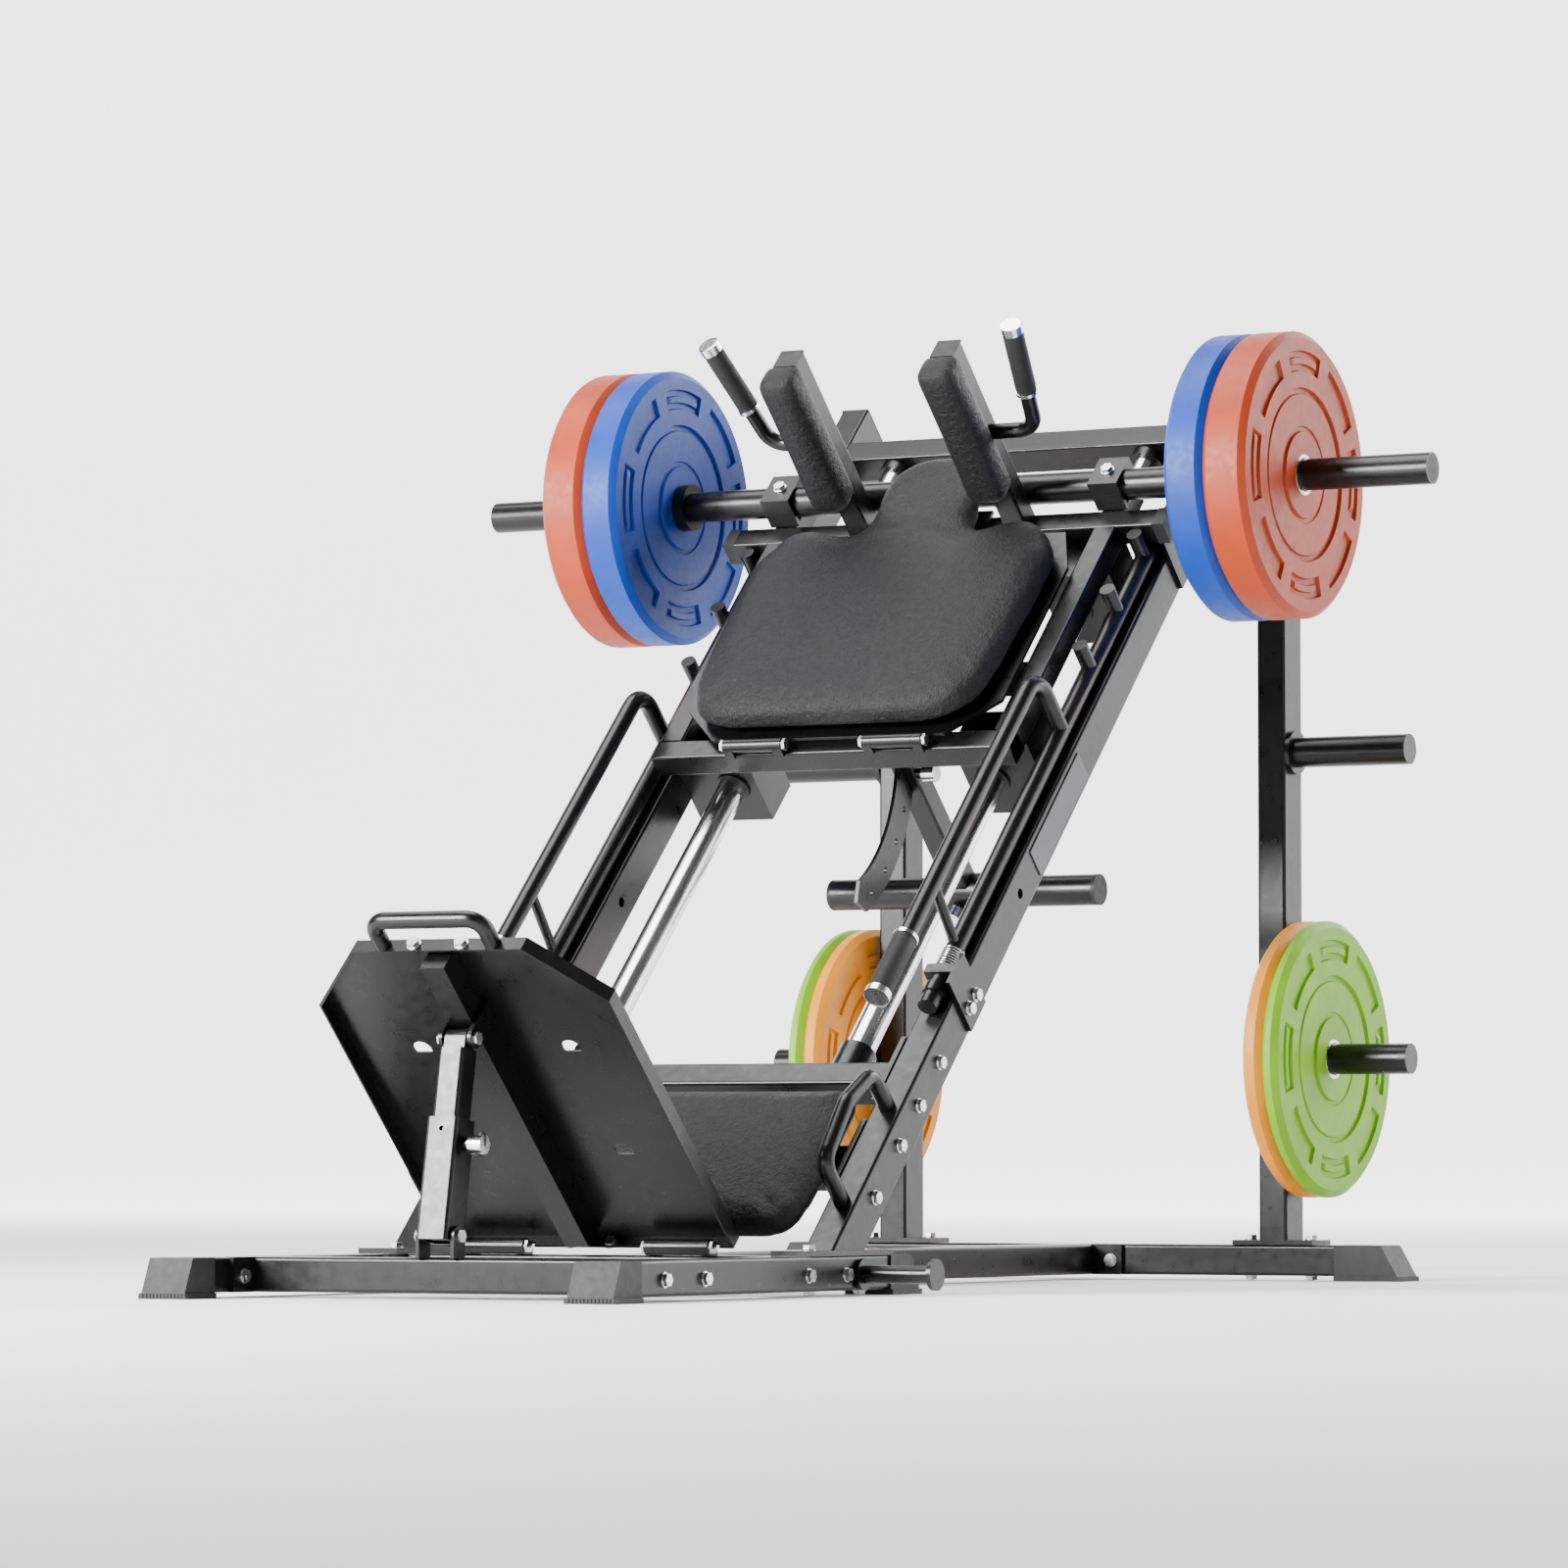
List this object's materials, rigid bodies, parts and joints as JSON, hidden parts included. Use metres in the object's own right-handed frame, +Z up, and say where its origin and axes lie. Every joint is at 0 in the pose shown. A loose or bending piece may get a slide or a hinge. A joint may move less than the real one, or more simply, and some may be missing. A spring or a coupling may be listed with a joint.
{
  "type": "leg press machine",
  "caption": "Plate-loaded incline leg press with a sliding carriage, hinged back pad, shoulder pads, lock bars, folding foot plate and weight discs.",
  "frame": {"origin": "centre of the footprint on the floor", "axes": "+Z up, +X to the right of someone looking from the foot plate to the rear, +Y from the foot plate to the rear uprights"},
  "size_m": [1.7, 2.405, 1.4997],
  "materials": {
    "black_frame": "satin black powder coat",
    "chrome_steel": "polished",
    "zinc_steel": "zinc plated",
    "pad_leatherette": "fine grained charcoal leatherette",
    "black_rubber": "matt black",
    "bush_nylon": "black nylon",
    "disc_blue": "matt blue rubber",
    "disc_orange": "matt orange red rubber",
    "disc_yellow_green": "matt yellow rubber",
    "badge_aluminium": "blank satin plate"
  },
  "bodies": {
    "frame": {"base_rails": "black_frame", "floor_boots": "black_rubber", "front_crossbar": "black_frame", "hinge_crossbar": "black_frame", "spine_tube": "black_frame", "rear_crossbar": "black_frame", "band_pegs": "black_frame", "rear_uprights": "black_frame", "storage_pegs": "black_frame", "incline_rail_right": "black_frame", "incline_rail_left": "black_frame", "rail_end_caps": "black_rubber", "top_crossbar": "black_frame", "lower_crossbar": "black_frame", "seat_support": "black_frame", "guide_rods": "chrome_steel", "rod_sockets": "black_frame", "grab_handles": "black_frame", "badge_plates": "badge_aluminium", "seat_pad": "pad_leatherette", "lock_bar_brackets": "black_frame", "lock_springs": "chrome_steel", "frame_bolts": "zinc_steel"},
    "carriage": {"carriage_side_tubes": "black_frame", "carriage_bottom_tube": "black_frame", "carriage_cross_tube": "black_frame", "horn_arm": "black_frame", "loading_horn": "black_frame", "weight_bar": "black_frame", "bar_clamps": "black_frame", "bearing_blocks": "black_frame", "bearing_bushes": "bush_nylon", "shoulder_arms": "black_frame", "shoulder_pad_right": "pad_leatherette", "shoulder_pad_left": "pad_leatherette", "grip_tubes": "black_frame", "hand_grips": "black_rubber", "tube_end_caps": "black_rubber", "carriage_bolts": "zinc_steel"},
    "discs_right": {"inner_disc_right": "disc_blue", "outer_disc_right": "disc_orange"},
    "discs_left": {"inner_disc_left": "disc_blue", "outer_disc_left": "disc_orange"},
    "store_right": {"storage_discs_right": "disc_yellow_green"},
    "store_left": {"storage_discs_left": "disc_yellow_green"},
    "backrest": {"pad_plate": "black_frame", "back_pad": "pad_leatherette", "sector_plate": "black_frame"},
    "plate_pin": {"plate_pull_pin": "chrome_steel"},
    "horn_pin": {"horn_pull_pin": "chrome_steel"},
    "lock_right": {"lock_bar_right": "black_frame", "lock_grip_right": "black_rubber"},
    "lock_left": {"lock_bar_left": "black_frame", "lock_grip_left": "black_rubber"},
    "foot": {"foot_plate": "black_frame", "foot_handle": "black_frame", "foot_plate_bolts": "zinc_steel"},
    "strut_lower": {"strut_outer": "black_frame"},
    "strut_upper": {"strut_inner": "black_frame"},
    "strut_pin": {"strut_pull_pin": "chrome_steel"}
  },
  "joints": [
    {"name": "carriage_slide", "type": "slide", "parent": "frame", "child": "carriage", "axis": [0, 0.7071, 0.7071], "range_m": [0, 0.26]},
    {"name": "backrest_hinge", "type": "hinge", "parent": "carriage", "child": "backrest", "pos_m": [0, 0.07803, 0.84216], "axis": [1, 0, 0], "range_deg": [0, 49.2]},
    {"name": "plate_pin_pull", "type": "slide", "parent": "carriage", "child": "plate_pin", "axis": [1, 0, 0], "range_m": [0, 0.01], "stiffness_N_per_m": 300, "springref_m": -0.005},
    {"name": "horn_pin_pull", "type": "slide", "parent": "carriage", "child": "horn_pin", "axis": [0, -0.7071, -0.7071], "range_m": [0, 0.01], "stiffness_N_per_m": 300, "springref_m": -0.02},
    {"name": "right_lock_turn", "type": "hinge", "parent": "frame", "child": "lock_right", "pos_m": [0.352, 0.14266, 0.80016], "axis": [0, 0.7071, 0.7071], "range_deg": [0, 60]},
    {"name": "left_lock_turn", "type": "hinge", "parent": "frame", "child": "lock_left", "pos_m": [-0.352, 0.14266, 0.80016], "axis": [0, -0.7071, -0.7071], "range_deg": [0, 60]},
    {"name": "foot_plate_tilt", "type": "hinge", "parent": "frame", "child": "foot", "pos_m": [0, -0.6285, 0.07], "axis": [1, 0, 0], "range_deg": [-7.3, 7.3]},
    {"name": "strut_swing", "type": "hinge", "parent": "frame", "child": "strut_lower", "pos_m": [0, -1.025, 0.089], "axis": [1, 0, 0], "range_deg": [-6.57, 6.57]},
    {"name": "strut_extend", "type": "slide", "parent": "strut_lower", "child": "strut_upper", "axis": [0, 0.1767, 0.9843], "range_m": [-0.06, 0.06]},
    {"name": "strut_pin_pull", "type": "slide", "parent": "strut_lower", "child": "strut_pin", "axis": [1, 0, 0], "range_m": [0, 0.01], "stiffness_N_per_m": 300, "springref_m": -0.005},
    {"name": "right_discs_off", "type": "slide", "parent": "carriage", "child": "discs_right", "axis": [1, 0, 0], "range_m": [0, 0.37]},
    {"name": "left_discs_off", "type": "slide", "parent": "carriage", "child": "discs_left", "axis": [-1, 0, 0], "range_m": [0, 0.37]},
    {"name": "right_store_off", "type": "slide", "parent": "frame", "child": "store_right", "axis": [1, 0, 0], "range_m": [0, 0.21]},
    {"name": "left_store_off", "type": "slide", "parent": "frame", "child": "store_left", "axis": [-1, 0, 0], "range_m": [0, 0.21]}
  ],
  "couplings": [
    {"joint": "strut_swing", "follows": "foot_plate_tilt", "ratio": 0.8175},
    {"joint": "strut_extend", "follows": "foot_plate_tilt", "m_per_rad": -0.3955}
  ]
}
